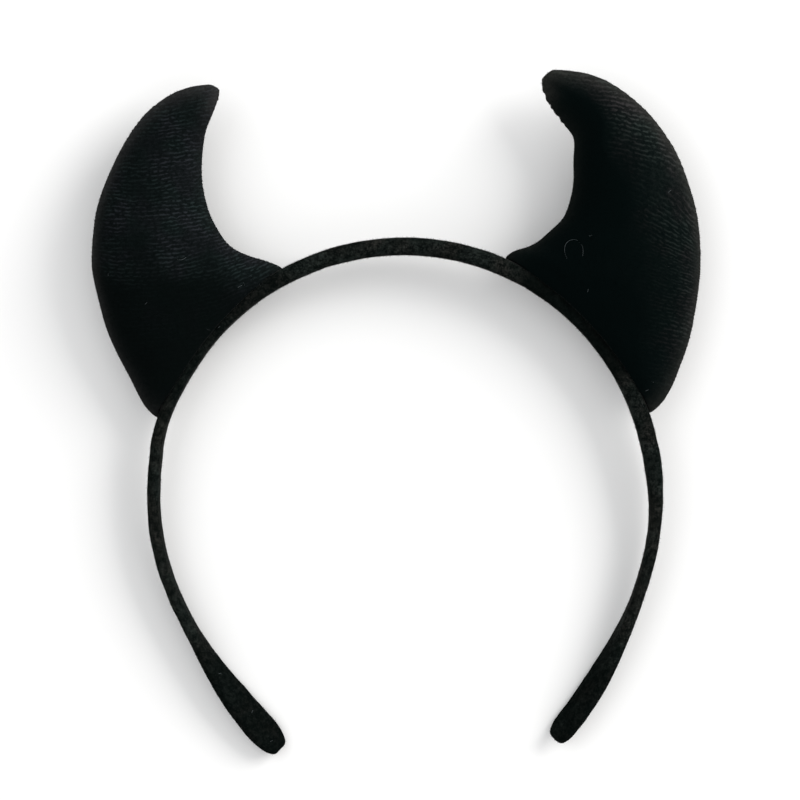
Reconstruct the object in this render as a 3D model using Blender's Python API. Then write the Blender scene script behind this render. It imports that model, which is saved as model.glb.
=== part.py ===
"""Devil horns headband, lying face up as it rests by itself.

A springy strip in a velvet sleeve is bent to an arch whose two arms open out and twist. Two stuffed
velvet horns stand on its outer face. All three are modelled in the plane of the arch, with the arch
centre at the origin, the crown at +Y and the front at +Z. An empty then tips the whole headband onto
the backs of the horns and the ends of the arms, with the middle of its footprint at the origin.
Metres, +Z up.
"""

from collections import namedtuple
from math import cos, pi, radians, sin, sqrt

import bmesh
import bpy
from mathutils import Matrix, Vector
import numpy as np

# Band: the strip with its velvet sleeve
BAND_RADIUS = 0.0702        # arch centre to the middle of the strip's thickness
CROWN_THICK = 0.0045        # strip and sleeve at the crown
SIDE_THICK = 0.0030         # and down the sides and arms
BAND_WIDTH = 0.0090
BAND_CORNER = 0.0013        # rounding of the strip's four long edges

# The strip thins down each side of the arch between two places, and bows out a little of the circle
# round another. Past the arch each arm bends less, and twists its inner face to the front. twist_from
# and twist_to are shares of the arm's length.
Arm = namedtuple("Arm", "side thins_from_deg thins_to_deg bow bow_at_deg bow_reach_deg opens_deg bend length "
                        "twist_deg twist_from twist_to end_round")
LEFT_ARM = Arm(side=-1, thins_from_deg=8, thins_to_deg=72, bow=0.00065, bow_at_deg=73, bow_reach_deg=12.8,
               opens_deg=115, bend=0.146, length=0.0505,
               twist_deg=60.5, twist_from=0.08, twist_to=0.96, end_round=0.0093)
RIGHT_ARM = Arm(side=1, thins_from_deg=80, thins_to_deg=98, bow=0.00060, bow_at_deg=104, bow_reach_deg=29.5,
                opens_deg=102, bend=0.121, length=0.0600,
                twist_deg=32, twist_from=0.20, twist_to=0.77, end_round=0.0052)
END_WIDTH_SHARE = 0.40      # share of the strip's width left at the very end of an arm
END_THICK_SHARE = 0.62      # share of its thickness left there

# Horns: stuffed velvet crescents
HORN_THICK = 0.0260         # front to back, before the back is pressed flat
HORN_CLOTH = 0.0015         # velvet and its seam allowance, folded round the band
FOOT_LAP = 0.0014           # how far a horn's foot laps over the band's front and back faces
FOOT_FULLNESS = 0.33
SEAT_GAP = 0.0003           # between a horn's foot and the band's sleeve
REST_FLATTEN = 0.0010       # how far the stuffing is pressed in where a horn lies on its back

# One row for each section across a horn, from the foot to the tip. turn is the place round the arch:
# 1 is the foot's corner next to the crown and -1 the lower corner. rise is the height over the band,
# 0 at the band and 1 at the horn's full height. depth is a share of half the horn's thickness, and
# fullness is the power that rounds the section from seam to seam: 0.5 is an ellipse.
Row = namedtuple("Row", "outer_turn outer_rise inner_turn inner_rise depth fullness")
LEFT_ROWS = [
    Row(-0.975, 0.057, 0.960, 0.036, 0.62, 0.38),
    Row(-0.800, 0.172, 0.910, 0.067, 0.78, 0.44),
    Row(-0.567, 0.349, 0.790, 0.141, 0.93, 0.50),
    Row(-0.350, 0.504, 0.700, 0.230, 1.00, 0.54),
    Row(-0.143, 0.642, 0.690, 0.330, 0.97, 0.56),
    Row(0.069, 0.757, 0.720, 0.430, 0.90, 0.57),
    Row(0.300, 0.851, 0.775, 0.530, 0.80, 0.58),
    Row(0.548, 0.935, 0.840, 0.615, 0.69, 0.58),
    Row(0.750, 0.987, 0.910, 0.690, 0.56, 0.58),
    Row(0.930, 1.002, 0.990, 0.765, 0.43, 0.58),
    Row(1.072, 0.979, 1.078, 0.824, 0.30, 0.56),
    Row(1.154, 0.951, 1.160, 0.883, 0.16, 0.54),
]
LEFT_TIP = (1.187, 0.915)
RIGHT_ROWS = [
    Row(-0.970, 0.063, 0.975, 0.044, 0.62, 0.38),
    Row(-0.835, 0.167, 0.930, 0.067, 0.78, 0.44),
    Row(-0.600, 0.317, 0.830, 0.130, 0.93, 0.50),
    Row(-0.384, 0.459, 0.765, 0.225, 1.00, 0.54),
    Row(-0.186, 0.592, 0.725, 0.310, 0.98, 0.56),
    Row(0.013, 0.710, 0.745, 0.400, 0.92, 0.57),
    Row(0.219, 0.817, 0.790, 0.490, 0.83, 0.58),
    Row(0.443, 0.911, 0.850, 0.575, 0.73, 0.58),
    Row(0.630, 0.965, 0.895, 0.655, 0.62, 0.58),
    Row(0.800, 0.997, 0.930, 0.692, 0.54, 0.58),
    Row(0.950, 0.998, 1.030, 0.735, 0.45, 0.57),
    Row(1.080, 0.977, 1.110, 0.775, 0.36, 0.55),
    Row(1.177, 0.948, 1.190, 0.842, 0.21, 0.53),
]
RIGHT_TIP = (1.215, 0.895)

Horn = namedtuple("Horn", "name side middle_deg half_span_deg height rows tip")
LEFT_HORN = Horn(name="horn_left", side=-1, middle_deg=49.9, half_span_deg=21.7, height=0.0576,
                 rows=LEFT_ROWS, tip=LEFT_TIP)
RIGHT_HORN = Horn(name="horn_right", side=1, middle_deg=47.1, half_span_deg=23.7, height=0.0566,
                  rows=RIGHT_ROWS, tip=RIGHT_TIP)
HORNS = [LEFT_HORN, RIGHT_HORN]

# Fineness of the facets
ARCH_STATIONS = 60
ARM_STATIONS = 12
END_STATIONS = 5
HORN_SECTIONS = 31
SECTION_POINTS = 32
SMOOTH_ANGLE = radians(42)
SETTLE_ROUNDS = 12
CUT_MERGE = 1e-6

UP = Vector((0, 0, 1))


def clear_scene():
    for thing in list(bpy.data.objects):
        bpy.data.objects.remove(thing, do_unlink=True)


def velvet(name, colour):
    """Black velvet: no shine, with a faint pale sheen from its pile."""
    material = bpy.data.materials.new(name)
    material.use_nodes = True
    shader = material.node_tree.nodes["Principled BSDF"]
    shader.inputs["Base Color"].default_value = (*colour, 1)
    shader.inputs["Roughness"].default_value = 0.95
    shader.inputs["Metallic"].default_value = 0
    shader.inputs["Sheen Weight"].default_value = 0.4
    material.diffuse_color = (*colour, 1)
    return material


def around(side, angle):
    """Unit vector from the arch centre, at an angle from the crown towards one side."""
    return Vector((side * sin(angle), cos(angle), 0))


def ease(share):
    share = min(max(share, 0), 1)
    return share * share * (3 - 2 * share)


def half_arch(arm):
    """Length of strip from the crown to where an arm opens."""
    return BAND_RADIUS * radians(arm.opens_deg)


def band_thickness(along):
    """Thickness of the strip at a length along it: most at the crown, less down the sides."""
    arm = RIGHT_ARM if along >= 0 else LEFT_ARM
    degrees_round = abs(along) / radians(BAND_RADIUS)
    thinned = ease((degrees_round - arm.thins_from_deg) / (arm.thins_to_deg - arm.thins_from_deg))
    return CROWN_THICK + (SIDE_THICK - CROWN_THICK) * thinned


def band_bow(along):
    """How far the strip bows out of the circle at a length along it."""
    arm = RIGHT_ARM if along >= 0 else LEFT_ARM
    degrees_round = abs(along) / radians(BAND_RADIUS)
    return arm.bow * ease(1 - abs(degrees_round - arm.bow_at_deg) / arm.bow_reach_deg)


def band_ring(along, grow=0):
    """Section of the strip at a length along it from the crown, positive to the right."""
    arm = RIGHT_ARM if along >= 0 else LEFT_ARM
    past = abs(along) - half_arch(arm)
    if past <= 0:
        outward = around(arm.side, abs(along) / BAND_RADIUS)
        middle = BAND_RADIUS * outward
    else:
        opening = radians(arm.opens_deg)
        outward = around(arm.side, opening + past / arm.bend)
        middle = arm.bend * outward - (arm.bend - BAND_RADIUS) * around(arm.side, opening)
    middle = middle + band_bow(along) * outward
    arm_share = past / arm.length
    twist = radians(arm.twist_deg) * ease((arm_share - arm.twist_from) / (arm.twist_to - arm.twist_from))
    thickness_way = cos(twist) * outward - sin(twist) * UP
    width_way = cos(twist) * UP + sin(twist) * outward

    into_end = min(max(1 - (arm.length - past) / arm.end_round, 0), 1)
    rounding = sqrt(1 - into_end ** 2)
    half_width = BAND_WIDTH / 2 * (END_WIDTH_SHARE + (1 - END_WIDTH_SHARE) * rounding) + grow
    half_thick = band_thickness(along) / 2 * (END_THICK_SHARE + (1 - END_THICK_SHARE) * rounding) + grow
    corner = min(BAND_CORNER + grow, 0.9 * half_thick, 0.9 * half_width)
    ring = []
    for turn in range(4):
        for step in range(3):
            angle = (turn + step / 2) * pi / 2
            across = corner * cos(angle) + (half_thick - corner) * (1 if turn in (0, 3) else -1)
            height = corner * sin(angle) + (half_width - corner) * (1 if turn in (0, 1) else -1)
            ring.append(middle + across * thickness_way + height * width_way)
    return ring


def spread(start, end, count):
    """Evenly spaced places from a start to an end, both of them included."""
    return np.linspace(start, end, count).tolist()


def arm_stations(arm):
    """Places of an arm's sections, close together where its end is rounded."""
    opening = half_arch(arm)
    rounded_from = opening + arm.length - arm.end_round
    closing = [rounded_from + arm.end_round * sin(turn) for turn in spread(0, pi / 2, END_STATIONS + 1)]
    return spread(opening, rounded_from, ARM_STATIONS + 1)[1:] + closing[1:]


def band_stations():
    left = [-place for place in reversed(arm_stations(LEFT_ARM))]
    arch = spread(-half_arch(LEFT_ARM), half_arch(RIGHT_ARM), ARCH_STATIONS + 1)
    return left + arch + arm_stations(RIGHT_ARM)


def curve_through(table, place):
    """Smooth value of every column at a place between a table's rows, on a Catmull-Rom curve."""
    last = len(table) - 1
    index = min(int(place), last - 1)
    share = place - index
    before, start, end, after = (table[min(max(index + step, 0), last)] for step in (-1, 0, 1, 2))
    return 0.5 * (2 * start + (end - before) * share
                  + (2 * before - 5 * start + 4 * end - after) * share ** 2
                  + (3 * start - before - 3 * end + after) * share ** 3)


def horn_point(horn, turn, rise, depth):
    """A point of a horn from its place round the arch, its height over the band and its depth."""
    angle = radians(horn.middle_deg - turn * horn.half_span_deg)
    along = horn.side * angle * BAND_RADIUS
    outer_face = BAND_RADIUS + band_bow(along) + band_thickness(along) / 2
    reach = outer_face + rise * horn.height
    return reach * around(horn.side, angle) + depth * UP


def horn_rings(horn):
    """Sections of a horn from its foot to its tip. Each runs round from the outer seam, over the
    front to the inner seam and back behind."""
    foot_depth = (BAND_WIDTH / 2 + SEAT_GAP + HORN_CLOTH) / (HORN_THICK / 2)
    foot = Row(-1, 0, 1, 0, foot_depth, FOOT_FULLNESS)
    table = np.array([foot] + horn.rows)
    rings = []
    for place in spread(0, len(table) - 1, HORN_SECTIONS):
        row = Row(*curve_through(table, place).tolist())
        lap = FOOT_LAP / horn.height * max(0, 1 - place)
        ring = []
        for step in range(SECTION_POINTS):
            angle = 2 * pi * step / SECTION_POINTS
            across = (1 - cos(angle)) / 2
            swell = max(sin(angle) ** 2, 0)
            turn = row.outer_turn + (row.inner_turn - row.outer_turn) * across
            rise = row.outer_rise + (row.inner_rise - row.outer_rise) * across - lap * swell
            depth = HORN_THICK / 2 * row.depth * swell ** row.fullness
            ring.append(horn_point(horn, turn, rise, depth if step < SECTION_POINTS / 2 else -depth))
        rings.append(ring)
    return rings


def skin(shape, rings):
    """Faces from each ring of points to the next."""
    loops = [[shape.verts.new(point) for point in ring] for ring in rings]
    for lower, upper in zip(loops, loops[1:]):
        for step in range(len(lower)):
            after = (step + 1) % len(lower)
            shape.faces.new((lower[step], lower[after], upper[after], upper[step]))
    return loops


def close_across(shape, loop):
    """Close the end of a horn by strips from its front to its back."""
    count = len(loop)
    for step in range(count // 2):
        corners = [loop[step], loop[step + 1], loop[(count - step - 1) % count], loop[-step % count]]
        shape.faces.new(list(dict.fromkeys(corners)))


def close_to_point(shape, loop, point):
    tip = shape.verts.new(point)
    for step in range(len(loop)):
        shape.faces.new((loop[step], loop[(step + 1) % len(loop)], tip))


def band_shape(stations, grow=0):
    shape = bmesh.new()
    loops = skin(shape, [band_ring(place, grow) for place in stations])
    shape.faces.new(loops[0])
    shape.faces.new(loops[-1])
    return shape


def horn_shape(horn):
    shape = bmesh.new()
    loops = skin(shape, horn_rings(horn))
    close_across(shape, loops[0])
    close_to_point(shape, loops[-1], horn_point(horn, *horn.tip, 0))
    return shape


def seat_shape():
    """The band's arch, grown by the seat gap, which is cut out of the horns' feet."""
    reach = max(radians(horn.middle_deg + 1.3 * horn.half_span_deg) for horn in HORNS) * BAND_RADIUS
    return band_shape(spread(-reach, reach, ARCH_STATIONS), SEAT_GAP)


def points_of(shape):
    return np.array([vertex.co[:] for vertex in shape.verts])


def resting_plane(band, horns):
    """Plane z = level + slope_x x + slope_y y that touches the end of each arm from below and lies
    REST_FLATTEN inside the backs of the horns."""
    level, slope_x, slope_y = 0, 0, 0
    arms = [band[band[:, 0] < 0], band[band[:, 0] > 0]]
    for _ in range(SETTLE_ROUNDS):
        def lowest(points):
            return points[np.argmin(points[:, 2] - slope_x * points[:, 0] - slope_y * points[:, 1])]
        ends = [lowest(arm[arm[:, 1] < 0]) for arm in arms]
        backs = np.mean([lowest(horn) for horn in horns], axis=0) + (0, 0, REST_FLATTEN)
        touches = np.array(ends + [backs])
        sums = np.column_stack([np.ones(3), touches[:, 0], touches[:, 1]])
        level, slope_x, slope_y = np.linalg.solve(sums, touches[:, 2])
    return level, slope_x, slope_y


def press_flat(shape, plane):
    """Cut a horn's back off at the resting plane, and close it with one flat face."""
    level, slope_x, slope_y = plane
    bmesh.ops.bisect_plane(shape, geom=shape.verts[:] + shape.edges[:] + shape.faces[:], dist=CUT_MERGE,
                           plane_co=(0, 0, level), plane_no=(-slope_x, -slope_y, 1), clear_inner=True)
    rim = [edge for edge in shape.edges if edge.is_boundary]
    bmesh.ops.holes_fill(shape, edges=rim, sides=0)


def make_object(name, shape, material, rest):
    bmesh.ops.recalc_face_normals(shape, faces=shape.faces[:])
    mesh = bpy.data.meshes.new(name)
    shape.to_mesh(mesh)
    shape.free()
    mesh.shade_smooth()
    mesh.set_sharp_from_angle(angle=SMOOTH_ANGLE)
    mesh.materials.append(material)
    thing = bpy.data.objects.new(name, mesh)
    bpy.context.scene.collection.objects.link(thing)
    thing.parent = rest
    return thing


def make_rest(plane, points):
    """Empty that tips the arch's plane onto its resting plane, and centres the footprint."""
    _, slope_x, slope_y = plane
    normal = Vector((-slope_x, -slope_y, 1)).normalized()
    along = Vector((1, 0, slope_x)).normalized()
    turn = Matrix((along, normal.cross(along), normal))
    placed = points @ np.array(turn).T
    low, high = placed.min(axis=0), placed.max(axis=0)
    rest = bpy.data.objects.new("rest", None)
    bpy.context.scene.collection.objects.link(rest)
    rest.rotation_mode = "QUATERNION"
    rest.rotation_quaternion = turn.to_quaternion()
    rest.location = (-(low[0] + high[0]) / 2, -(low[1] + high[1]) / 2, -low[2])
    return rest


def build():
    clear_scene()
    band = band_shape(band_stations())
    horns = [horn_shape(horn) for horn in HORNS]
    plane = resting_plane(points_of(band), [points_of(shape) for shape in horns])
    for shape in horns:
        press_flat(shape, plane)
    rest = make_rest(plane, np.vstack([points_of(shape) for shape in [band] + horns]))

    make_object("band", band, velvet("band_velvet", (0.0085, 0.0100, 0.0095)), rest)
    horn_velvet = {"horn_left": velvet("horn_left_velvet", (0.0060, 0.0080, 0.0088)),
                   "horn_right": velvet("horn_right_velvet", (0.0060, 0.0080, 0.0084))}
    seat = make_object("band_seat_guide", seat_shape(), horn_velvet["horn_left"], rest)
    seat.hide_render = True
    seat.display_type = "WIRE"
    for horn, shape in zip(HORNS, horns):
        made = make_object(horn.name, shape, horn_velvet[horn.name], rest)
        cut = made.modifiers.new("seat_on_band", "BOOLEAN")
        cut.operation = "DIFFERENCE"
        cut.solver = "EXACT"
        cut.object = seat


build()
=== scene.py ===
"""Looks of the devil horns headband: two velvet horns swelled by their filling, the band's velvet
sleeve, seams, puckers, ribs, pile and lint, on a pale floor in soft light. Metres, +Y towards the
crown, +Z up out of the headband's front."""

from collections import namedtuple
from math import cos, hypot, radians, sin, sqrt, tau

import bpy
import numpy as np
from mathutils import Matrix, Vector, noise
from mathutils.bvhtree import BVHTree
from mathutils.kdtree import KDTree


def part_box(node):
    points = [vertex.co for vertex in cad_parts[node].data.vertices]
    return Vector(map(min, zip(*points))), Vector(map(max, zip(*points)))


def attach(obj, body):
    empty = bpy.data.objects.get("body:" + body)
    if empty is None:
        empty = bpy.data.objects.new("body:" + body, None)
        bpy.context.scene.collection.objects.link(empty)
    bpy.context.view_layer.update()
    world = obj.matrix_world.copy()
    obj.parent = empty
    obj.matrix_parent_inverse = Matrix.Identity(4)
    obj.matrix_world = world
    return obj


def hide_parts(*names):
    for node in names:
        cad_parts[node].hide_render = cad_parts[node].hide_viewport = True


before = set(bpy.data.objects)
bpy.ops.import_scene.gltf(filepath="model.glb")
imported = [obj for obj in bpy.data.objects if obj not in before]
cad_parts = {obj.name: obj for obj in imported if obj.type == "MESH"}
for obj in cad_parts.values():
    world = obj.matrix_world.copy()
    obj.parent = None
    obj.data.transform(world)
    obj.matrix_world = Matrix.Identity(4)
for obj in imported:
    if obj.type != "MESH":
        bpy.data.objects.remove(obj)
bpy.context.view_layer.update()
bpy.ops.object.select_all(action="DESELECT")

MM = 0.001
ARCH_ROUNDS = 4
ARCH_FROM = 2 * MM           # the stretch of band read as the arch, towards the crown from its centre
MERGE_REACH = 0.01 * MM
SEED_STEPS = (17.3, -9.1, 5.7)      # each seed reads the noise this far from the last one's place

# Horn covers: the velvet is sewn a little slack and swells when it is stuffed
HORN_VOXEL = 0.70 * MM
SLACK = 0.88                 # depth of the empty cover, as a share of the stuffed one
SLACK_FROM = 2.0 * MM        # height over the band where the slack starts
SLACK_TO = 12.0 * MM
SOFTENING_ROUNDS = 6
FILLING_PRESSURE = 80
CLOTH_MASS = 0.0003
CLOTH_TENSION = 15
CLOTH_BENDING = 0.02
SWELL_FRAMES = 16
SWELL_CAP = 2.6 * MM
SWELL_IN_PLANE = 0.15        # share kept of what the seam draws in: the outline is the stuffed one
HELD_HEIGHT = 2.6 * MM       # what is glued to the band doesn't swell
HELD_SEAM = 1.0 * MM
FREE_FROM = 3.0 * MM         # height over the band where the cloth is free of the glued foot
FREE_FADE = 5.0 * MM
FOOT_HEIGHT = 3.0 * MM
CORNER_REACH = 1.4 * MM      # cloth folded in at the two ends of a horn's foot
CORNER_ALONG = 4.0 * MM
CORNER_RISE = 4.5 * MM
PRESS_FROM = 2.5 * MM        # glue line: the foot is pressed onto the sleeve from this far off
PRESS_HEIGHT = 6.5 * MM
PRESS = 0.32 * MM
PRESSED_GAP = 0.04 * MM
FLOOR_LIFT = 0.15 * MM       # pile between the pressed back of a horn and the floor

# Seams round the horns
SEAM_STEP = 0.5 * MM
SEAM_FROM = 2.5 * MM         # height over the band where the seam starts
SEAM_ROUNDING = 0.01 * MM
TIP_REACH_SHARE = 0.85       # points this far out, as a share of the farthest, may be the tip
SEAM_DEPTH = 0.08 * MM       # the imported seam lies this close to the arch's middle plane
SEAM_GROOVE = 0.30 * MM
SEAM_GROOVE_WIDTH = 0.6 * MM
SEAM_GROOVE_UNEVEN = 0.35
SEAM_FULLNESS = 0.40 * MM    # the turned-in allowance fills the outline out beside the stitches
SEAM_FULLNESS_REACH = 2.4 * MM
PUCKER_REACH = 2.353 * MM
PUCKER_PITCH = 2.4 * MM
PUCKER_DRIFT = 4.0           # the pitch drifts by up to this angle, over this length of seam
PUCKER_DRIFT_SIZE = 5.0 * MM
PUCKER_EVEN = 0.6            # shares of even waves and of uneven ones
PUCKER_UNEVEN = 0.7
PUCKER_UNEVEN_SIZE = 0.9 * MM
PUCKER_PLAIN = 0.03 * MM     # height of the puckers where the seam isn't gathered
PUCKER_FADE = 3.0 * MM
LUMP_SIZE = 11 * MM
LUMP_HEIGHT = 0.30 * MM
GRAIN_SIZE = 1.5 * MM
GRAIN_HEIGHT = 0.03 * MM
RIM_REACH = 4.0 * MM         # painted sheen, paler beside the seam
RIM_PAST_TIP = 3 * MM        # it goes on a little past the tip
RIM_FADE = 8 * MM
RIM_LOW_END = 10 * MM        # and the painted sheen is paler higher up
RIM_LOW_FADE = 70 * MM

# Ribs knitted into the velvet of the horns
RIB_HEIGHT = 0.16 * MM
RIB_WANDER = 0.50 * MM
RIB_WANDER_SIZE = 6 * MM
RIB_BREAK = 1.5 * MM         # length of rib between two breaks
RIB_FAN_REACH = 16 * MM
RIB_ZONE_SIZE = 9 * MM       # how the ribs' height varies over the horn
RIB_ZONE_MIDDLE = 0.75
RIB_ZONE_SPREAD = 1.2
RIB_ZONE_LEAST = 0.1
RIB_BREAK_MIDDLE = 0.5       # and from one piece of rib to the next
RIB_BREAK_SPREAD = 1.5
RIB_BREAK_MOST = 1.2
RIB_FULL_PAINTED_LIGHT = 0.30          # where the painted light is weaker than this, the ribs fade
RIB_FLAT_SHARE = 0.30        # down to this share

# Pile: fine fibres that stand out of the cloth
PILE_LENGTH = 0.60 * MM
PILE_WIDTH = 0.07 * MM
PILE_LEAN = 0.6
PILE_LEAST_SIZE = 0.45
PILE_DENSITY = 1.2e6         # fibres to a square metre
PILE_OFF_FLOOR = 0.7 * MM    # no pile below this height
PILE_OFF_FLOOR_FADE = 1.2 * MM
PILE_OFF_FOOT = 1.5 * MM     # and none this close to the band's middle
PILE_OFF_FOOT_FADE = 2.5 * MM
PILE_TONE_SIZE = 0.8 * MM

# Tone and painted light of the velvet: painted light on the sides that face the key light's way, painted
# shade low on the horns and at the sleeve's ends, and random paler patches
PAINTED_LIGHT_WAY = (0.85, 0.40, 0.0)
NAP_PATCH = 0.22
NAP_PATCH_SIZE = 12 * MM
PAINTED_SHADE_EDGE_WANDER = 8 * MM
PAINTED_SHADE_LOW_SHARE = 0.60         # share of a horn's painted light left at its low end, as painted shade
PAINTED_SHADE_LOW_FROM = 26 * MM
PAINTED_SHADE_LOW_FADE = 18 * MM
PAINTED_SHADE_AT_ENDS = 0.34           # share of the sleeve's tone left where the arms' ends turn their flat side up, as painted shade
ENDS_FROM = 150 * MM
ENDS_FADE = 12 * MM
SLEEVE_NAP = 0.60
SLEEVE_NAP_PATCH = 0.35
SLEEVE_NAP_PATCH_SIZE = 4 * MM

# Painted shade where the horns' feet press on the sleeve, by length of strip from the crown: side is -1
# for the left
Foot = namedtuple("Foot", "side starts ends nap_share")
FEET = [
    Foot(side=-1, starts=34 * MM, ends=92 * MM, nap_share=0.50),
    Foot(side=1, starts=31 * MM, ends=78 * MM, nap_share=0.20),
]
FEET_FADE = 6 * MM

# Sleeve: the velvet gathers a little round the strip
SLEEVE_FULLNESS = 0.24 * MM
SLEEVE_LEVELS = 3
GATHER_HEIGHT = 0.12 * MM
GATHER_SIZE = 5 * MM
CREASE_HEIGHT = 0.06 * MM
CREASE_SIZE = 1.2 * MM
QUAD_FACE_DEG = 40
QUAD_SHAPE_DEG = 60

# Lint: loose threads, specks and stitch ends on the velvet. Places and lengths in millimetres
LINT_WIDTH = 0.036 * MM
LINT_LIFT = 0.12 * MM
LINT_STEP_DEG = 15
LINT_DROP_FROM = 0.1         # height that the threads are dropped from, onto the cloth
LINT_COLOUR = (0.065, 0.078, 0.082, 1)
Lint = namedtuple("Lint", "x y length turn_deg curl_deg")
LINT = [
    Lint(-60.6, 42.7, 3.0, -25, 70),
    Lint(-69.4, 30.2, 0.7, 40, 0),
    Lint(-79.9, 38.2, 0.6, 80, 0),
    Lint(-40.4, 38.3, 1.3, -60, 20),
    Lint(-38.6, 36.6, 1.6, -40, -30),
    Lint(-43.9, 34.9, 1.4, 30, 0),
    Lint(-42.3, 36.4, 1.1, -70, 0),
    Lint(-52.6, 23.4, 1.0, -20, 0),
    Lint(-49.5, 23.8, 0.7, 50, 0),
    Lint(47.5, 42.7, 12.8, 114, -210),
    Lint(53.5, 48.8, 0.8, 20, 0),
    Lint(53.1, 33.5, 0.8, 70, 0),
    Lint(74.9, 41.0, 1.0, -60, 40),
    Lint(75.4, 60.9, 1.2, 40, 0),
    Lint(70.7, 9.2, 1.3, -50, 30),
    Lint(69.4, 6.2, 1.0, 20, 0),
    Lint(68.4, 3.0, 1.4, -70, 0),
    Lint(-49.8, -72.8, 0.7, 0, 0),
    Lint(-40.7, -83.9, 0.8, 60, 0),
    Lint(-35.4, -92.0, 0.7, 30, 0),
]

# Camera and light
PHOTO_SIDE = 800
PHOTO_SCALE = 3.576 / MM     # pixels of the photograph to a metre, at the height that it is aimed at
CAMERA_DISTANCE = 1.0
CAMERA_AIM = (1.065 * MM, 3.811 * MM, 10 * MM)
CAMERA_LEAN_RIGHT_DEG = 1.0
CAMERA_LEAN_CROWN_DEG = -1.125
SENSOR_WIDTH = 36.0

FLOOR_SIDE = 6.0
FLOOR_GREY = 0.86
SKY_STRENGTH = 0.85

# Velvet's looks: colours of its dark ground, of its painted lit side in two casts, and of its rim's
# painted sheen
RIB_WAVINESS = 0.9
RIB_WAVINESS_SIZE = 1.8 * MM
MOTTLE_SIZE = 1.3 * MM
FLECK_SIZE = 0.48 * MM
FLECK_BUMP = 0.8
CAST_SIZE = 9 * MM
RIM_GROUND = 0.5
RIM_SPECKS = 0.25
BUMP_DEPTH = 0.10 * MM
BUMP_STRENGTH = 0.6
SHEEN_TINT = (1.0, 0.98, 0.94, 1)
Velvet = namedtuple("Velvet", "name deep bright cast rim ground rib_share mottle_share fleck_share sheen")
# the two horns are one velvet; their colours are tuned apart to carry each horn's painted light and shade
LEFT_VELVET = Velvet("velvet_left", deep=(0.0017, 0.0027, 0.0026), bright=(0.0138, 0.0210, 0.0210),
                     cast=(0.0178, 0.0200, 0.0236), rim=(0.0330, 0.0325, 0.0325), ground=0.13,
                     rib_share=1.06, mottle_share=0.16, fleck_share=0.26, sheen=0.05)
RIGHT_VELVET = Velvet("velvet_right", deep=(0.0012, 0.0027, 0.0027), bright=(0.0200, 0.0265, 0.0245),
                      cast=(0.0265, 0.0255, 0.0260), rim=(0.0315, 0.0312, 0.0285), ground=0.11,
                      rib_share=1.15, mottle_share=0.16, fleck_share=0.30, sheen=0.06)
SLEEVE_VELVET = Velvet("velvet_sleeve", deep=(0.0014, 0.0024, 0.0022), bright=(0.0235, 0.0290, 0.0262),
                       cast=(0.0262, 0.0262, 0.0236), rim=(0.0100, 0.0100, 0.0092), ground=0.06,
                       rib_share=0.0, mottle_share=0.60, fleck_share=0.95, sheen=0.05)

# Painted light of a horn: front is its share where the cloth faces the front, side is added as painted
# light where it faces the key light's way. It fades between two heights, which fall by fade_slope towards
# the right, and dark_share of it is left below them, as painted shade. The rim's painted sheen is
# rim_inner past the tip, and rim_low at the foot.
Nap = namedtuple("Nap", "front side fades_from fades_to fade_slope dark_share rim_inner rim_low")
# Ribs: level at one place, they slope and curve away from it, and fan out round one height
Rib = namedtuple("Rib", "pitch level_at slope_deg curve fan fan_at")
# Puckers: height where the seam is gathered, and the stretch that is, along the seam from the tip
Pucker = namedtuple("Pucker", "height start end")
Horn = namedtuple("Horn", "node seed nap ribs pucker")
HORNS = [
    Horn(node="horn_left", seed=1,
         nap=Nap(front=0.62, side=0.34, fades_from=38 * MM, fades_to=26 * MM, fade_slope=0.12,
                 dark_share=0.18, rim_inner=0.22, rim_low=0.60),
         ribs=Rib(pitch=1.12 * MM, level_at=-68 * MM, slope_deg=3, curve=7.5, fan=0, fan_at=0),
         pucker=Pucker(height=0.06 * MM, start=2 * MM, end=40 * MM)),
    Horn(node="horn_right", seed=2,
         nap=Nap(front=0.21, side=1.30, fades_from=88 * MM, fades_to=42 * MM, fade_slope=0,
                 dark_share=0.52, rim_inner=0.25, rim_low=0.70),
         ribs=Rib(pitch=1.28 * MM, level_at=45 * MM, slope_deg=-5, curve=-2.0, fan=-6.0, fan_at=51 * MM),
         pucker=Pucker(height=0.34 * MM, start=1 * MM, end=17 * MM)),
]


def only(piece):
    """Select one piece and nothing else."""
    bpy.ops.object.select_all(action="DESELECT")
    piece.select_set(True)
    bpy.context.view_layer.objects.active = piece


def apply_modifier(piece, modifier):
    only(piece)
    bpy.ops.object.modifier_apply(modifier=modifier.name)


def subdivide(piece, levels):
    smoother = piece.modifiers.new("smoother", "SUBSURF")
    smoother.levels = levels
    smoother.render_levels = levels
    apply_modifier(piece, smoother)


def copy_of_node(node, name):
    """A piece with a merged copy of a CAD node's mesh."""
    piece = bpy.data.objects.new(name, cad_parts[node].data.copy())
    bpy.context.scene.collection.objects.link(piece)
    piece.data.materials.clear()
    only(piece)
    bpy.ops.mesh.customdata_custom_splitnormals_clear()
    bpy.ops.object.mode_set(mode="EDIT")
    bpy.ops.mesh.select_all(action="SELECT")
    bpy.ops.mesh.remove_doubles(threshold=MERGE_REACH)
    bpy.ops.object.mode_set(mode="OBJECT")
    return piece


def read_vectors(collection, field):
    flat = np.empty(len(collection) * 3, np.float32)
    collection.foreach_get(field, flat)
    return flat.reshape(-1, 3).astype(float)


def points_of(mesh):
    return read_vectors(mesh.vertices, "co")


def normals_of(mesh):
    return read_vectors(mesh.vertex_normals, "vector")


def surface_of(piece):
    """A piece's faces, for finding the nearest place on them or where a line meets them."""
    faces = [face.vertices[:] for face in piece.data.polygons]
    return BVHTree.FromPolygons(points_of(piece.data).tolist(), faces)


def put_points(mesh, points):
    mesh.vertices.foreach_set("co", np.ascontiguousarray(points, np.float32).ravel())
    mesh.update()


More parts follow.
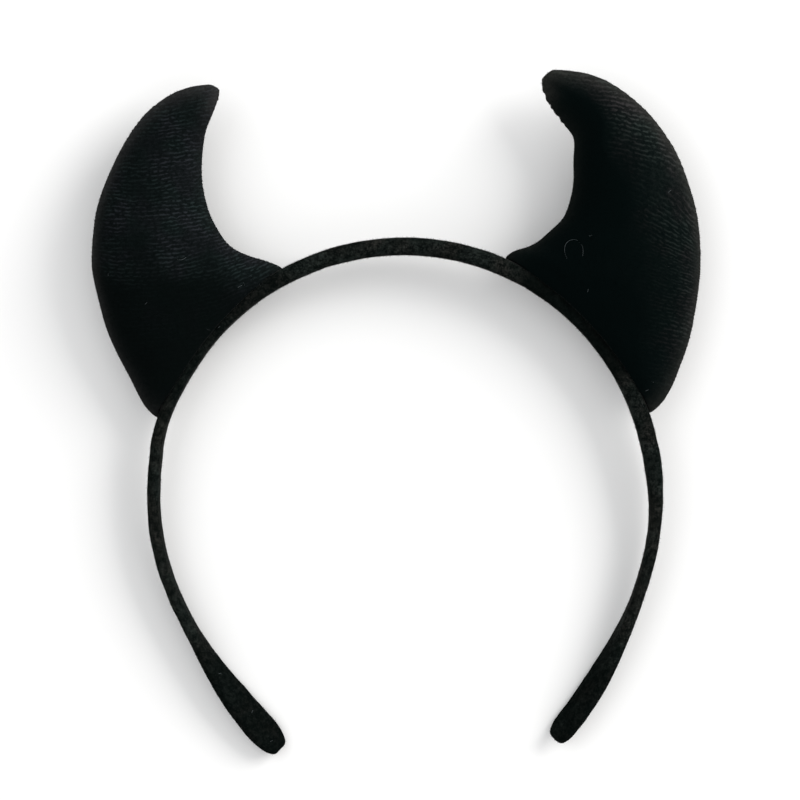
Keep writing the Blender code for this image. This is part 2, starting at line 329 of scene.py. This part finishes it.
def put_attribute(mesh, name, values):
    attribute = mesh.attributes.new(name, "FLOAT", "POINT")
    attribute.data.foreach_set("value", np.ascontiguousarray(values, np.float32))


def ease(share):
    share = np.clip(share, 0, 1)
    return share * share * (3 - 2 * share)


def read_arch():
    """The arch's centre, its axes (right, crown, front) and its middle radius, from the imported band.
    Each round fits a plane and a circle to the half of the band on the crown's side of the centre."""
    points = points_of(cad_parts["band"].data)
    low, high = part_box("band")
    arch = points[points[:, 1] > (low.y + high.y) / 2]
    for _ in range(ARCH_ROUNDS):
        middle = arch.mean(axis=0)
        front = np.linalg.svd(arch - middle, full_matrices=False)[2][2]
        front *= np.sign(front[2])
        right = np.cross((0, 1, 0), front)
        right /= np.linalg.norm(right)
        crown = np.cross(front, right)
        across, up = (arch - middle) @ right, (arch - middle) @ crown
        sums = np.column_stack([2 * across, 2 * up, np.ones(len(arch))])
        found = np.linalg.lstsq(sums, across ** 2 + up ** 2, rcond=None)[0]
        centre = middle + found[0] * right + found[1] * crown
        radius = sqrt(found[2] + found[0] ** 2 + found[1] ** 2)
        arch = points[(points - centre) @ crown > ARCH_FROM]
    return centre, np.array([right, crown, front]), radius


ARCH_CENTRE, ARCH_AXES, ARCH_RADIUS = read_arch()


def in_arch(points):
    """Points as the arch's own frame has them: to the right, towards the crown, out of the front."""
    return (points - ARCH_CENTRE) @ ARCH_AXES.T


def over_band(arch_points):
    """Height of points over the middle of the strip."""
    return np.hypot(arch_points[:, 0], arch_points[:, 1]) - ARCH_RADIUS


def along_band(arch_points):
    """Length of strip from the crown to below each point, positive to the right."""
    return ARCH_RADIUS * np.arctan2(arch_points[:, 0], arch_points[:, 1])


def noise_at(points, size, seed):
    """Smooth noise from -1 to 1 at each point."""
    shift = Vector([seed * step for step in SEED_STEPS])
    return np.array([noise.noise(Vector(point) / size + shift) for point in points])


def seam_line(node):
    """The seam round a horn, from its lower corner over the tip to its crown corner, as evenly spaced
    points in the arch's frame, with how far each lies along the seam."""
    points = in_arch(points_of(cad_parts[node].data))
    rim = points[(np.abs(points[:, 2]) < SEAM_DEPTH) & (over_band(points) > SEAM_FROM)]
    rim = np.unique(np.round(rim[:, :2] / SEAM_ROUNDING), axis=0) * SEAM_ROUNDING
    walk = [rim[np.argmin(rim[:, 1])]]
    left = [point for point in rim if not np.array_equal(point, walk[0])]
    while left:
        gaps = [hypot(*(point - walk[-1])) for point in left]
        walk.append(left.pop(int(np.argmin(gaps))))
    walk = np.array(walk)
    lengths = np.concatenate([[0], np.cumsum(np.hypot(*np.diff(walk, axis=0).T))])
    places = np.arange(0, lengths[-1], SEAM_STEP)
    line = np.column_stack([np.interp(places, lengths, walk[:, side]) for side in (0, 1)])
    return line, places


def tip_of(line):
    """Which point of a seam's line is the horn's tip: of the high ones, the nearest to the crown."""
    reach, turn = np.hypot(*line.T), np.abs(np.arctan2(*line.T))
    return int(np.argmin(np.where(reach > TIP_REACH_SHARE * reach.max(), turn, np.inf)))


def along_seam(arch_points, line, places):
    """How far each point is from the seam, and how far along it its nearest place is."""
    tree = KDTree(len(line))
    for index, (right, crown) in enumerate(line):
        tree.insert((right, crown, 0), index)
    tree.balance()
    found = [tree.find(point) for point in arch_points]
    distance = np.array([hit[2] for hit in found])
    place = places[[hit[1] for hit in found]]
    return distance, place


def cut_slack(piece):
    """The cover before it is stuffed: thinner than the stuffed horn, and longer in the foot's corners."""
    points = points_of(piece.data)
    arch = in_arch(points)
    rise = over_band(arch)
    slack = 1 - (1 - SLACK) * ease((rise - SLACK_FROM) / (SLACK_TO - SLACK_FROM))
    points += np.outer(arch[:, 2] * (slack - 1), ARCH_AXES[2])
    along = along_band(arch)
    foot = along[rise < FOOT_HEIGHT]
    low = rise < CORNER_RISE
    for end, way in ((foot.min(), -1), (foot.max(), 1)):
        share = ease(1 - np.abs(along - end) / CORNER_ALONG) * ease(1 - rise / CORNER_RISE) * low
        angle = along / ARCH_RADIUS
        tangent = np.outer(np.cos(angle), ARCH_AXES[0]) - np.outer(np.sin(angle), ARCH_AXES[1])
        points += way * CORNER_REACH * share[:, None] * tangent
    put_points(piece.data, points)


def swell(piece, held):
    """Stuff a closed cloth piece: the cloth swells under its filling, and stays where it is held."""
    mesh = piece.data
    group = piece.vertex_groups.new(name="held")
    group.add(np.flatnonzero(held).tolist(), 1.0, "REPLACE")
    before = points_of(mesh)
    filling = piece.modifiers.new("filling", "CLOTH")
    filling.settings.use_pressure = True
    filling.settings.uniform_pressure_force = FILLING_PRESSURE
    filling.settings.effector_weights.gravity = 0
    filling.settings.mass = CLOTH_MASS
    filling.settings.tension_stiffness = CLOTH_TENSION
    filling.settings.compression_stiffness = CLOTH_TENSION
    filling.settings.bending_stiffness = CLOTH_BENDING
    filling.settings.vertex_group_mass = group.name
    filling.collision_settings.use_collision = False
    filling.point_cache.frame_start = 1
    filling.point_cache.frame_end = SWELL_FRAMES
    for step in range(1, SWELL_FRAMES + 1):
        bpy.context.scene.frame_set(step)
    apply_modifier(piece, filling)
    bpy.context.scene.frame_set(1)
    moved = points_of(mesh) - before
    outward = np.outer(moved @ ARCH_AXES[2], ARCH_AXES[2])
    moved = outward + SWELL_IN_PLANE * (moved - outward)
    lengths = np.linalg.norm(moved, axis=1, keepdims=True)
    put_points(mesh, before + moved * np.minimum(1, SWELL_CAP / np.maximum(lengths, 1e-9)))
    piece.vertex_groups.clear()


def rest_on_floor(points):
    """Points of a soft piece, none of them lower than its pile holds it over the floor."""
    points[:, 2] = np.maximum(points[:, 2], FLOOR_LIFT)
    return points


def press_on_sleeve(points, sleeve):
    """Points of a horn's foot, pressed down onto the sleeve that it is glued to."""
    surface = surface_of(sleeve)
    for index in np.flatnonzero(over_band(in_arch(points)) < PRESS_HEIGHT):
        point = Vector(points[index])
        place, _, _, distance = surface.find_nearest(point)
        if PRESSED_GAP < distance < PRESS_FROM:
            shift = min(PRESS * (1 - distance / PRESS_FROM), distance - PRESSED_GAP)
            points[index] = point + (place - point) * (shift / distance)
    return points


def rib_count(points, ribs, seed):
    """How many ribs lie below each point. The ribs curve over the horn, and wander."""
    across = points[:, 0] - ribs.level_at
    lean = np.tan(radians(ribs.slope_deg))
    curve = ribs.curve + ribs.fan * np.exp(-((points[:, 1] - ribs.fan_at) / RIB_FAN_REACH) ** 2)
    wander = RIB_WANDER * noise_at(points, RIB_WANDER_SIZE, seed + 5)
    return (points[:, 1] - lean * across - curve * across ** 2 + wander) / ribs.pitch


def finish(piece, node):
    """Let a piece stand for its CAD node, which is hidden."""
    piece.data.shade_smooth()
    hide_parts(node)
    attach(piece, "root")


def nap_share(points, normals, horn):
    """Painted light at each point, from 0 to 1: paler on the sides that face the key light's way, with
    random patches, and painted shade low on the horn.
    """
    nap = horn.nap
    painted_lit_sides = nap.side * (normals @ np.array(PAINTED_LIGHT_WAY))
    patches = NAP_PATCH * noise_at(points, NAP_PATCH_SIZE, horn.seed + 9)
    edge = PAINTED_SHADE_EDGE_WANDER * noise_at(points, NAP_PATCH_SIZE, horn.seed + 13)
    height = points[:, 1] + nap.fade_slope * points[:, 0] + edge
    high = ease((height - nap.fades_to) / (nap.fades_from - nap.fades_to))
    low = ease((PAINTED_SHADE_LOW_FROM - points[:, 1]) / PAINTED_SHADE_LOW_FADE)
    left = (nap.dark_share + (1 - nap.dark_share) * high) * (1 - (1 - PAINTED_SHADE_LOW_SHARE) * low)
    return np.clip(nap.front + painted_lit_sides + patches, 0, 1) * left


def painted_rim_sheen(points, distance, past_tip, nap):
    """How much painted sheen lies beside the seam: most on the outer side, and less towards the foot."""
    inner = ease((past_tip - RIM_PAST_TIP) / RIM_FADE)
    high = ease((points[:, 1] - RIM_LOW_END) / RIM_LOW_FADE)
    left = (1 - (1 - nap.rim_inner) * inner) * (nap.rim_low + (1 - nap.rim_low) * high)
    return np.exp(-(distance / RIM_REACH) ** 2) * left


def sleeve_painted_shade(points):
    """What is left of the sleeve's tone: painted shade where the horns' feet are glued on, and at the
    arms' ends.
    """
    along = np.abs(along_band(in_arch(points)))
    nap = 1 - (1 - PAINTED_SHADE_AT_ENDS) * ease((along - ENDS_FROM) / ENDS_FADE)
    for foot in FEET:
        under = ease((along - foot.starts) / FEET_FADE) * ease((foot.ends - along) / FEET_FADE)
        nap *= 1 - (1 - foot.nap_share) * under * (points[:, 0] * foot.side > 0)
    return nap


def seam_relief(distance, place, past_tip, free, horn):
    """Height of the puckers, the groove and the turned-in cloth that a seam makes at each point."""
    pucker = horn.pucker
    along = np.column_stack([place, np.zeros(len(place)), np.zeros(len(place))])
    drift = PUCKER_DRIFT * noise_at(along, PUCKER_DRIFT_SIZE, horn.seed)
    waves = PUCKER_EVEN * np.sin(tau * place / PUCKER_PITCH + drift)
    waves += PUCKER_UNEVEN * noise_at(along, PUCKER_UNEVEN_SIZE, horn.seed + 2)
    gathered = ease((past_tip - pucker.start) / PUCKER_FADE) * ease((pucker.end - past_tip) / PUCKER_FADE)
    height = PUCKER_PLAIN + (pucker.height - PUCKER_PLAIN) * gathered
    puckers = height * waves * np.exp(-(distance / PUCKER_REACH) ** 2) * free
    depth = SEAM_GROOVE * (1 + SEAM_GROOVE_UNEVEN * waves)
    groove = -depth * np.exp(-(distance / SEAM_GROOVE_WIDTH) ** 2) * free
    fullness = SEAM_FULLNESS * np.exp(-(distance / SEAM_FULLNESS_REACH) ** 2)
    return puckers + groove + fullness


def rib_zone(points, nap, seed):
    """How strongly the ribs show at each point: by soft zones, and less where the painted light is weak.
    """
    zone = RIB_ZONE_MIDDLE + RIB_ZONE_SPREAD * noise_at(points, RIB_ZONE_SIZE, seed + 7)
    return np.clip(zone, RIB_ZONE_LEAST, 1) * np.clip(nap / RIB_FULL_PAINTED_LIGHT, RIB_FLAT_SHARE, 1)


def rib_relief(points, count, zone, seed):
    """Height of the knitted ribs at each point, broken along their length."""
    cells = np.column_stack([points[:, 0] / RIB_BREAK, count, np.full(len(points), float(seed))])
    broken = np.clip(RIB_BREAK_MIDDLE + RIB_BREAK_SPREAD * noise_at(cells, 1, seed), 0, RIB_BREAK_MOST)
    return RIB_HEIGHT / 2 * np.sin(tau * count) * broken * zone


def stuff_cover(horn, line, places):
    """A horn's plain cover: slack, remeshed evenly, then swelled by its filling."""
    piece = copy_of_node(horn.node, horn.node + "_cover")
    cut_slack(piece)
    piece.data.remesh_voxel_size = HORN_VOXEL
    only(piece)
    bpy.ops.object.voxel_remesh()
    bpy.ops.object.mode_set(mode="EDIT")
    bpy.ops.mesh.select_all(action="SELECT")
    bpy.ops.mesh.vertices_smooth(factor=0.5, repeat=SOFTENING_ROUNDS)
    bpy.ops.object.mode_set(mode="OBJECT")
    arch = in_arch(points_of(piece.data))
    distance, _ = along_seam(arch, line, places)
    swell(piece, (over_band(arch) < HELD_HEIGHT) | (distance < HELD_SEAM))
    subdivide(piece, 1)
    return piece


def make_horn(horn, sleeve):
    """A horn's velvet cover, stuffed, with its seam pulled in and the cloth puckered beside it."""
    line, places = seam_line(horn.node)
    piece = stuff_cover(horn, line, places)
    mesh = piece.data
    points = points_of(mesh)
    normals = normals_of(mesh)
    arch = in_arch(points)
    rise = over_band(arch)
    distance, place = along_seam(arch, line, places)
    past_tip = place - places[tip_of(line)]
    count = rib_count(points, horn.ribs, horn.seed)
    nap = nap_share(points, normals, horn)
    zone = rib_zone(points, nap, horn.seed)

    free = ease((rise - FREE_FROM) / FREE_FADE)
    height = seam_relief(distance, place, past_tip, free, horn)
    height += LUMP_HEIGHT * noise_at(points, LUMP_SIZE, horn.seed) * free
    height += GRAIN_HEIGHT * noise_at(points, GRAIN_SIZE, horn.seed + 3)
    height += rib_relief(points, count, zone, horn.seed)
    points += normals * height[:, None]
    put_points(mesh, rest_on_floor(press_on_sleeve(points, sleeve)))

    put_attribute(mesh, "rib_count", count)
    put_attribute(mesh, "rib_along", points[:, 0] / RIB_BREAK)
    put_attribute(mesh, "rib_zone", zone)
    # painted light and shade, and the rim's painted sheen, for the velvet's colour
    put_attribute(mesh, "nap", nap)
    put_attribute(mesh, "rim", painted_rim_sheen(points, distance, past_tip, horn.nap))
    put_attribute(mesh, "pile", pile_share(points, ease((rise - PILE_OFF_FOOT) / PILE_OFF_FOOT_FADE)))
    finish(piece, horn.node)
    return piece


def pile_share(points, share):
    """How much pile stands at each point: none where the cloth lies on the floor."""
    return share * ease((points[:, 2] - PILE_OFF_FLOOR) / PILE_OFF_FLOOR_FADE)


def make_sleeve():
    """The band's velvet sleeve, with small bumps where the cloth gathers round the strip."""
    piece = copy_of_node("band", "band_sleeve")
    mesh = piece.data
    only(piece)
    bpy.ops.object.mode_set(mode="EDIT")
    bpy.ops.mesh.select_all(action="SELECT")
    bpy.ops.mesh.tris_convert_to_quads(face_threshold=radians(QUAD_FACE_DEG),
                                       shape_threshold=radians(QUAD_SHAPE_DEG))
    bpy.ops.object.mode_set(mode="OBJECT")
    subdivide(piece, SLEEVE_LEVELS)
    points = points_of(mesh)
    normals = normals_of(mesh)
    gathers = GATHER_HEIGHT * noise_at(points, GATHER_SIZE, 11)
    gathers += CREASE_HEIGHT * noise_at(points, CREASE_SIZE, 12)
    points += normals * (SLEEVE_FULLNESS + gathers)[:, None]
    put_points(mesh, rest_on_floor(points))
    # random tone, darkened by painted shade under the horns' feet and at the arms' ends
    nap = SLEEVE_NAP + SLEEVE_NAP_PATCH * noise_at(points, SLEEVE_NAP_PATCH_SIZE, 19)
    put_attribute(mesh, "nap", nap * sleeve_painted_shade(points))
    put_attribute(mesh, "pile", pile_share(points, np.ones(len(points))))
    for absent in ("rim", "rib_count", "rib_along", "rib_zone"):
        put_attribute(mesh, absent, np.zeros(len(points)))
    finish(piece, "band")
    return piece


def pile_nodes(name, seed):
    """Geometry nodes that set a fine three-sided fibre on the cloth, many times, leaning all ways."""
    tree = bpy.data.node_groups.new(name, "GeometryNodeTree")
    tree.interface.new_socket("Cloth", in_out="INPUT", socket_type="NodeSocketGeometry")
    tree.interface.new_socket("Pile", in_out="OUTPUT", socket_type="NodeSocketGeometry")
    cloth = tree.nodes.new("NodeGroupInput")
    result = tree.nodes.new("NodeGroupOutput")

    share = tree.nodes.new("GeometryNodeInputNamedAttribute")
    share.inputs["Name"].default_value = "pile"
    crowd = tree.nodes.new("ShaderNodeMath")
    crowd.operation = "MULTIPLY"
    crowd.inputs[1].default_value = PILE_DENSITY
    tree.links.new(share.outputs["Attribute"], crowd.inputs[0])
    spots = tree.nodes.new("GeometryNodeDistributePointsOnFaces")
    spots.inputs["Seed"].default_value = seed
    tree.links.new(cloth.outputs[0], spots.inputs["Mesh"])
    tree.links.new(crowd.outputs[0], spots.inputs["Density"])

    fibre = tree.nodes.new("GeometryNodeMeshCone")
    fibre.inputs["Vertices"].default_value = 3
    fibre.inputs["Radius Top"].default_value = 0
    fibre.inputs["Radius Bottom"].default_value = PILE_WIDTH / 2
    fibre.inputs["Depth"].default_value = PILE_LENGTH

    lean = tree.nodes.new("FunctionNodeRandomValue")
    lean.data_type = "FLOAT_VECTOR"
    lean.inputs["Min"].default_value = (-PILE_LEAN, -PILE_LEAN, -PILE_LEAN)
    lean.inputs["Max"].default_value = (PILE_LEAN, PILE_LEAN, PILE_LEAN)
    lean.inputs["Seed"].default_value = seed + 1
    way = tree.nodes.new("ShaderNodeVectorMath")
    way.operation = "ADD"
    tree.links.new(spots.outputs["Normal"], way.inputs[0])
    tree.links.new(lean.outputs["Value"], way.inputs[1])
    turn = tree.nodes.new("FunctionNodeAlignRotationToVector")
    turn.axis = "Z"
    tree.links.new(way.outputs[0], turn.inputs["Vector"])
    size = tree.nodes.new("FunctionNodeRandomValue")
    least, most = size.inputs[2], size.inputs[3]
    least.default_value = PILE_LEAST_SIZE
    most.default_value = 1.0
    size.inputs["Seed"].default_value = seed + 2
    planted = tree.nodes.new("GeometryNodeInstanceOnPoints")
    tree.links.new(spots.outputs["Points"], planted.inputs["Points"])
    tree.links.new(fibre.outputs["Mesh"], planted.inputs["Instance"])
    tree.links.new(turn.outputs["Rotation"], planted.inputs["Rotation"])
    tree.links.new(size.outputs[1], planted.inputs["Scale"])
    solid = tree.nodes.new("GeometryNodeRealizeInstances")
    tree.links.new(planted.outputs["Instances"], solid.inputs["Geometry"])
    tree.links.new(solid.outputs["Geometry"], result.inputs[0])
    return tree


def make_pile(cloth, name, seed):
    """Fibres all over one piece of cloth, as a mesh of their own."""
    pile = bpy.data.objects.new(name, cloth.data.copy())
    bpy.context.scene.collection.objects.link(pile)
    pile.data.materials.clear()
    growth = pile.modifiers.new("growth", "NODES")
    growth.node_group = pile_nodes(name + "_fibres", seed)
    apply_modifier(pile, growth)
    pile.data.materials.clear()
    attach(pile, "root")
    return pile


class Shader:
    """A material's nodes, added and linked by short calls."""

    def __init__(self, name):
        self.material = bpy.data.materials.new(name)
        self.material.use_nodes = True
        self.tree = self.material.node_tree
        self.surface = self.tree.nodes["Principled BSDF"]

    def add(self, kind, **settings):
        node = self.tree.nodes.new("ShaderNode" + kind)
        for key, value in settings.items():
            if key in node.inputs:
                node.inputs[key].default_value = value
            else:
                setattr(node, key, value)
        return node

    def link(self, source, target):
        self.tree.links.new(source, target)

    def noise(self, place, size, detail=2.0, roughness=0.6):
        cloud = self.add("TexNoise", Scale=1 / size, Detail=detail, Roughness=roughness)
        self.link(place, cloud.inputs["Vector"])
        return cloud.outputs["Fac"]

    def stretch(self, source, low, high):
        """A value spread out so that low becomes 0 and high becomes 1."""
        spread = self.add("MapRange")
        spread.inputs["From Min"].default_value = low
        spread.inputs["From Max"].default_value = high
        self.link(source, spread.inputs["Value"])
        return spread.outputs[0]

    def math(self, operation, first, second):
        node = self.add("Math", operation=operation)
        for socket, value in zip(node.inputs, (first, second)):
            if isinstance(value, (int, float)):
                socket.default_value = value
            else:
                self.link(value, socket)
        return node.outputs[0]

    def mix(self, share, first, second):
        node = self.add("Mix", data_type="RGBA")
        self.link(share, node.inputs[0])
        for socket, value in ((node.inputs[6], first), (node.inputs[7], second)):
            if isinstance(value, tuple):
                socket.default_value = (*value, 1)
            else:
                self.link(value, socket)
        return node.outputs[2]

    def attribute(self, name):
        return self.add("Attribute", attribute_name=name).outputs["Fac"]


def rib_pattern(shader, place):
    """The ribs' crests, painted pale as a highlight, wavy and broken, from 0 to 1."""
    count = shader.attribute("rib_count")
    wavy = shader.math("MULTIPLY", shader.noise(place, RIB_WAVINESS_SIZE, detail=1.0), RIB_WAVINESS)
    wave = shader.math("SINE", shader.math("MULTIPLY", shader.math("ADD", count, wavy), tau), 0)
    crest = shader.stretch(wave, low=-0.3, high=1.0)
    cells = shader.add("CombineXYZ")
    shader.link(shader.attribute("rib_along"), cells.inputs[0])
    shader.link(count, cells.inputs[1])
    breaks = shader.stretch(shader.noise(cells.outputs[0], 1.0, detail=1.0), low=0.40, high=0.56)
    return shader.math("MULTIPLY", shader.math("MULTIPLY", crest, breaks), shader.attribute("rib_zone"))


def velvet(look):
    """Black stretch velvet: ribs with painted highlights on their crests, random patches, flecks, painted
    light and shade, and painted sheen at the edges.
    """
    shader = Shader(look.name)
    place = shader.add("TexCoord").outputs["Object"]
    mottle = shader.stretch(shader.noise(place, MOTTLE_SIZE), low=0.42, high=0.66)
    fleck = shader.stretch(shader.noise(place, FLECK_SIZE, roughness=0.7), low=0.50, high=0.72)
    # painted highlight: the ribs' crests are painted pale
    ribs = shader.math("MULTIPLY", rib_pattern(shader, place), look.rib_share)
    painted_crests_and_texture = shader.math("ADD", ribs, shader.math("MULTIPLY", mottle, look.mottle_share))
    painted_crests_and_texture = shader.math("ADD", painted_crests_and_texture, shader.math("MULTIPLY", fleck, look.fleck_share))
    # painted light and shade scale the tone
    tone = shader.math("MULTIPLY", shader.math("ADD", painted_crests_and_texture, look.ground), shader.attribute("nap"))
    hue = shader.stretch(shader.noise(place, CAST_SIZE, detail=1.0), low=0.42, high=0.60)
    colour = shader.mix(tone, look.deep, shader.mix(hue, look.bright, look.cast))
    # painted sheen beside the seams, with specks
    specks = shader.math("MULTIPLY", shader.math("ADD", mottle, fleck), RIM_SPECKS)
    painted_sheen = shader.math("ADD", specks, RIM_GROUND)
    colour = shader.mix(shader.math("MULTIPLY", shader.attribute("rim"), painted_sheen), colour, look.rim)
    shader.link(colour, shader.surface.inputs["Base Color"])

    bump = shader.add("Bump", Strength=BUMP_STRENGTH, Distance=BUMP_DEPTH)
    height = shader.math("ADD", ribs, shader.math("MULTIPLY", fleck, FLECK_BUMP))
    shader.link(height, bump.inputs["Height"])
    shader.link(bump.outputs[0], shader.surface.inputs["Normal"])

    shader.surface.inputs["Roughness"].default_value = 0.9
    shader.surface.inputs["Specular IOR Level"].default_value = 0.0
    shader.surface.inputs["Sheen Weight"].default_value = look.sheen
    shader.surface.inputs["Sheen Roughness"].default_value = 0.25
    shader.surface.inputs["Sheen Tint"].default_value = SHEEN_TINT
    return shader.material


def pile_material(name, deep, bright):
    """Single fibres: black, with some that catch the light."""
    shader = Shader(name)
    place = shader.add("TexCoord").outputs["Object"]
    tone = shader.stretch(shader.noise(place, PILE_TONE_SIZE), low=0.45, high=0.70)
    shader.link(shader.mix(tone, deep, bright), shader.surface.inputs["Base Color"])
    shader.surface.inputs["Roughness"].default_value = 0.7
    shader.surface.inputs["Specular IOR Level"].default_value = 0.0
    return shader.material


def thread_points(lint):
    """A short thread's middle line, curled in the plane of the cloth, as x and y."""
    steps = max(2, int(abs(lint.curl_deg) / LINT_STEP_DEG) + 2)
    line = [np.array([lint.x, lint.y]) * MM]
    for step in range(steps):
        turn = radians(lint.turn_deg + lint.curl_deg * ease((step + 0.5) / steps))
        line.append(line[-1] + lint.length * MM / steps * np.array([cos(turn), sin(turn)]))
    return line


def lie_on(surfaces, line):
    """A thread's middle line laid on the cloth. What hangs past the cloth is left out."""
    laid = []
    for x, y in line:
        fall = Vector((x, y, LINT_DROP_FROM)), Vector((0, 0, -1))
        heights = [hit.z for hit in (surface.ray_cast(*fall)[0] for surface in surfaces) if hit]
        if heights:
            laid.append((x, y, max(heights) + LINT_LIFT))
    return laid


def make_lint(cloths):
    """Pale threads, specks and stitch ends that lie on the velvet, as one mesh of thin square tubes."""
    surfaces = [surface_of(cloth) for cloth in cloths]
    corners, faces = [], []
    aside = LINT_WIDTH * sqrt(0.5)
    for lint in LINT:
        rings = lie_on(surfaces, thread_points(lint))
        for index, (x, y, z) in enumerate(rings):
            start, before = len(corners), len(corners) - 4
            corners += [(x, y, z + LINT_WIDTH), (x + aside, y - aside, z),
                        (x, y, z - LINT_WIDTH), (x - aside, y + aside, z)]
            if index == 0:
                faces.append([start + side for side in range(4)])
            else:
                faces += [[before + side, before + (side + 1) % 4, start + (side + 1) % 4, start + side]
                          for side in range(4)]
            if index == len(rings) - 1:
                faces.append([start + side for side in (3, 2, 1, 0)])
    mesh = bpy.data.meshes.new("lint")
    mesh.from_pydata(corners, [], faces)
    threads = bpy.data.objects.new("lint", mesh)
    bpy.context.scene.collection.objects.link(threads)
    only(threads)
    bpy.ops.object.mode_set(mode="EDIT")
    bpy.ops.mesh.select_all(action="SELECT")
    bpy.ops.mesh.normals_make_consistent(inside=False)
    bpy.ops.object.mode_set(mode="OBJECT")
    shader = Shader("lint_thread")
    shader.surface.inputs["Base Color"].default_value = LINT_COLOUR
    shader.surface.inputs["Roughness"].default_value = 0.8
    mesh.materials.append(shader.material)
    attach(threads, "root")


def make_floor():
    """Pale matt paper, far wider than the view."""
    bpy.ops.mesh.primitive_plane_add(size=FLOOR_SIDE, location=(0, 0, 0))
    floor = bpy.context.object
    floor.name = "floor"
    shader = Shader("floor_paper")
    shader.surface.inputs["Base Color"].default_value = (FLOOR_GREY, FLOOR_GREY, FLOOR_GREY, 1)
    shader.surface.inputs["Roughness"].default_value = 1.0
    shader.surface.inputs["Specular IOR Level"].default_value = 0.0
    floor.data.materials.append(shader.material)


def make_light(name, place, size, power, colour):
    """A soft square lamp that looks at the middle of the headband."""
    lamp = bpy.data.lights.new(name, "AREA")
    lamp.shape = "SQUARE"
    lamp.size = size
    lamp.energy = power
    lamp.color = colour
    thing = bpy.data.objects.new(name, lamp)
    thing.location = place
    thing.rotation_euler = (-Vector(place)).to_track_quat("-Z", "Y").to_euler()
    bpy.context.scene.collection.objects.link(thing)


def make_world():
    """Plain white light from all round."""
    world = bpy.data.worlds.new("studio")
    world.use_nodes = True
    sky = world.node_tree.nodes["Background"]
    sky.inputs["Color"].default_value = (1, 1, 1, 1)
    sky.inputs["Strength"].default_value = SKY_STRENGTH
    bpy.context.scene.world = world


def make_camera():
    """The photograph's camera: over the headband, square to it, with the crown at the top."""
    lean_right, lean_crown = radians(CAMERA_LEAN_RIGHT_DEG), radians(CAMERA_LEAN_CROWN_DEG)
    back = Vector((sin(lean_right), sin(lean_crown), 0))
    back.z = sqrt(1 - back.length_squared)
    up = (Vector((0, 1, 0)) - back * back.y).normalized()
    right = up.cross(back)
    lens = bpy.data.cameras.new("camera")
    lens.sensor_width = SENSOR_WIDTH
    lens.lens = SENSOR_WIDTH * PHOTO_SCALE * CAMERA_DISTANCE / PHOTO_SIDE
    camera = bpy.data.objects.new("camera", lens)
    camera.matrix_world = Matrix.Translation(Vector(CAMERA_AIM) + CAMERA_DISTANCE * back) @ Matrix(
        (right, up, back)).transposed().to_4x4()
    bpy.context.scene.collection.objects.link(camera)
    bpy.context.scene.camera = camera


make_camera()
sleeve = make_sleeve()
left, right = [make_horn(horn, sleeve) for horn in HORNS]
for cloth, look in ((left, LEFT_VELVET), (right, RIGHT_VELVET), (sleeve, SLEEVE_VELVET)):
    cloth.data.materials.append(velvet(look))
fibres = pile_material("pile_fibres", deep=(0.0008, 0.0012, 0.0012), bright=(0.0040, 0.0048, 0.0048))
for cloth, name, seed, slot in ((left, "horn_left_pile", 21, "horn_velvet"),
                                (right, "horn_right_pile", 22, "horn_velvet"),
                                (sleeve, "band_pile", 23, "band_velvet")):
    make_pile(cloth, name, seed).data.materials.append(fibres)
make_lint([left, right, sleeve])
make_floor()
make_world()
make_light("key", place=(1.35, 0.75, 0.95), size=1.1, power=26, colour=(1, 0.99, 0.97))
make_light("fill", place=(-1.0, 0.6, 1.6), size=1.4, power=5, colour=(0.95, 0.98, 1))
bpy.context.scene.view_settings.view_transform = "Standard"
